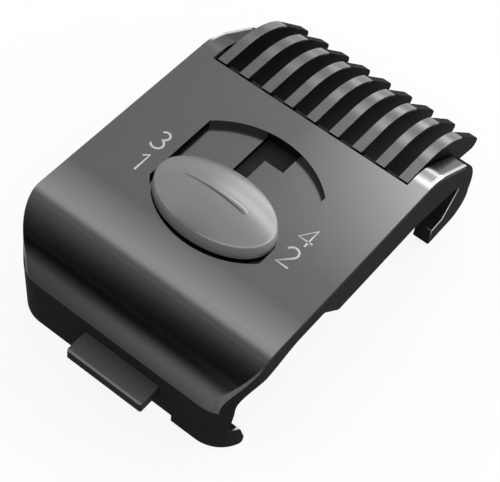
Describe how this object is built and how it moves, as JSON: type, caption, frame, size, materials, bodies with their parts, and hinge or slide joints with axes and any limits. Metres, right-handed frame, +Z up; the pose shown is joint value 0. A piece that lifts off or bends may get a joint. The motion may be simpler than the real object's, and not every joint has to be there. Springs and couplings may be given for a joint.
{
  "type": "clipper guard comb",
  "caption": "Clip-on hair clipper guard with a sliding comb, a satin metal cover, a press-to-slide knob with click settings and hooked arms that grip the clipper head.",
  "frame": {"origin": "centre of the outline, on the plane the rear legs stand on", "axes": "+X across the guard, +Y towards the comb's tooth tips, +Z up through the knob"},
  "size_m": [0.044, 0.075, 0.0277],
  "materials": {
    "cover_metal": "satin metallic grey",
    "chassis_black": "fine-grained black",
    "tab_grey": "satin dark grey",
    "slider_black": "fine-grained black",
    "tooth_black": "satin black",
    "strip_metal": "grainy grey metal",
    "knob_metal": "satin light metallic grey",
    "knob_base_grey": "satin dark grey",
    "spring_steel": "drawn steel",
    "screw_steel": "turned steel"
  },
  "bodies": {
    "guard": {"top_cover": "cover_metal", "side_rail_left": "chassis_black", "side_rail_right": "chassis_black", "rear_wall": "chassis_black", "rear_hook_left": "chassis_black", "rear_hook_right": "chassis_black", "front_hook_left": "chassis_black", "front_hook_right": "chassis_black", "thumb_tab": "tab_grey", "runner_left": "chassis_black", "runner_right": "chassis_black", "detent_rack_left": "chassis_black", "detent_rack_right": "chassis_black"},
    "slider": {"slider_plate": "slider_black", "comb_bridge": "slider_black", "comb_tooth_1": "tooth_black", "tooth_strip_1": "strip_metal", "comb_tooth_2": "tooth_black", "tooth_strip_2": "strip_metal", "comb_tooth_3": "tooth_black", "tooth_strip_3": "strip_metal", "comb_tooth_4": "tooth_black", "tooth_strip_4": "strip_metal", "comb_tooth_5": "tooth_black", "tooth_strip_5": "strip_metal", "comb_tooth_6": "tooth_black", "tooth_strip_6": "strip_metal", "comb_tooth_7": "tooth_black", "tooth_strip_7": "strip_metal", "comb_tooth_8": "tooth_black", "tooth_strip_8": "strip_metal", "comb_tooth_9": "tooth_black", "tooth_strip_9": "strip_metal", "detent_spring_left": "spring_steel", "detent_spring_right": "spring_steel", "bridge_screws": "screw_steel", "button_spring": "spring_steel"},
    "knob": {"knob_cap": "knob_metal", "knob_base": "knob_base_grey", "knob_stem": "slider_black"}
  },
  "joints": [
    {"name": "comb_slide", "type": "slide", "parent": "guard", "child": "slider", "axis": [0, 1, 0], "range_m": [0, 0.0075], "deforming": ["detent_spring_left", "detent_spring_right"]},
    {"name": "button_press", "type": "slide", "parent": "slider", "child": "knob", "axis": [0, 0, -1], "range_m": [0, 0.00035], "stiffness_N_per_m": 2000, "springref_m": -0.0005, "deforming": ["button_spring"]}
  ]
}
